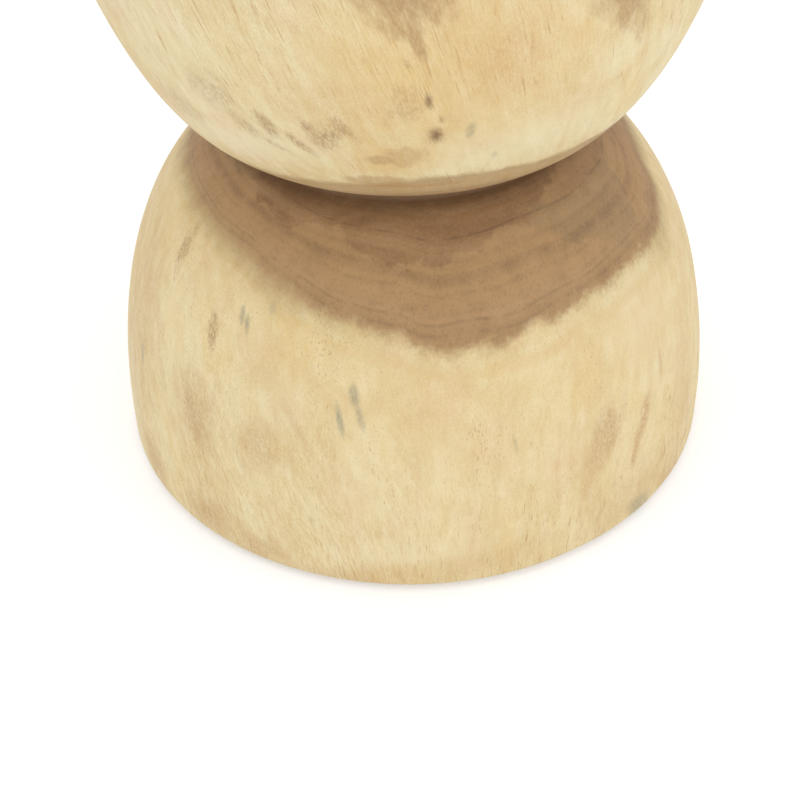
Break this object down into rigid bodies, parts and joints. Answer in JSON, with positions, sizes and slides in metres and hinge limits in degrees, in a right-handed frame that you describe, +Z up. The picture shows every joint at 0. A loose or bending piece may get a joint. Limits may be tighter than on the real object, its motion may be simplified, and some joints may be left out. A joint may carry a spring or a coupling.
{
  "type": "stool table",
  "caption": "Hourglass stool table carved from a single log: a domed base and a flat-topped bowl meeting at a narrow waist, standing on nailed felt glides.",
  "frame": {"origin": "on the floor under the middle of the stool, on the axis of the carving", "axes": "+Z up along the grain of the log, -Y towards the viewer of the picture"},
  "size_m": [0.35, 0.35, 0.404],
  "materials": {
    "carved_wood": "sanded smooth, pale sapwood round brown heartwood, matte",
    "glide_plastic": "moulded, fine texture",
    "glide_felt": "pressed felt",
    "nail_steel": "bright drawn steel"
  },
  "bodies": {
    "root": {"carved_body": "carved_wood", "front_right_glide_cup": "glide_plastic", "front_right_glide_felt": "glide_felt", "front_right_glide_nail": "nail_steel", "rear_right_glide_cup": "glide_plastic", "rear_right_glide_felt": "glide_felt", "rear_right_glide_nail": "nail_steel", "rear_left_glide_cup": "glide_plastic", "rear_left_glide_felt": "glide_felt", "rear_left_glide_nail": "nail_steel", "front_left_glide_cup": "glide_plastic", "front_left_glide_felt": "glide_felt", "front_left_glide_nail": "nail_steel"}
  },
  "joints": []
}
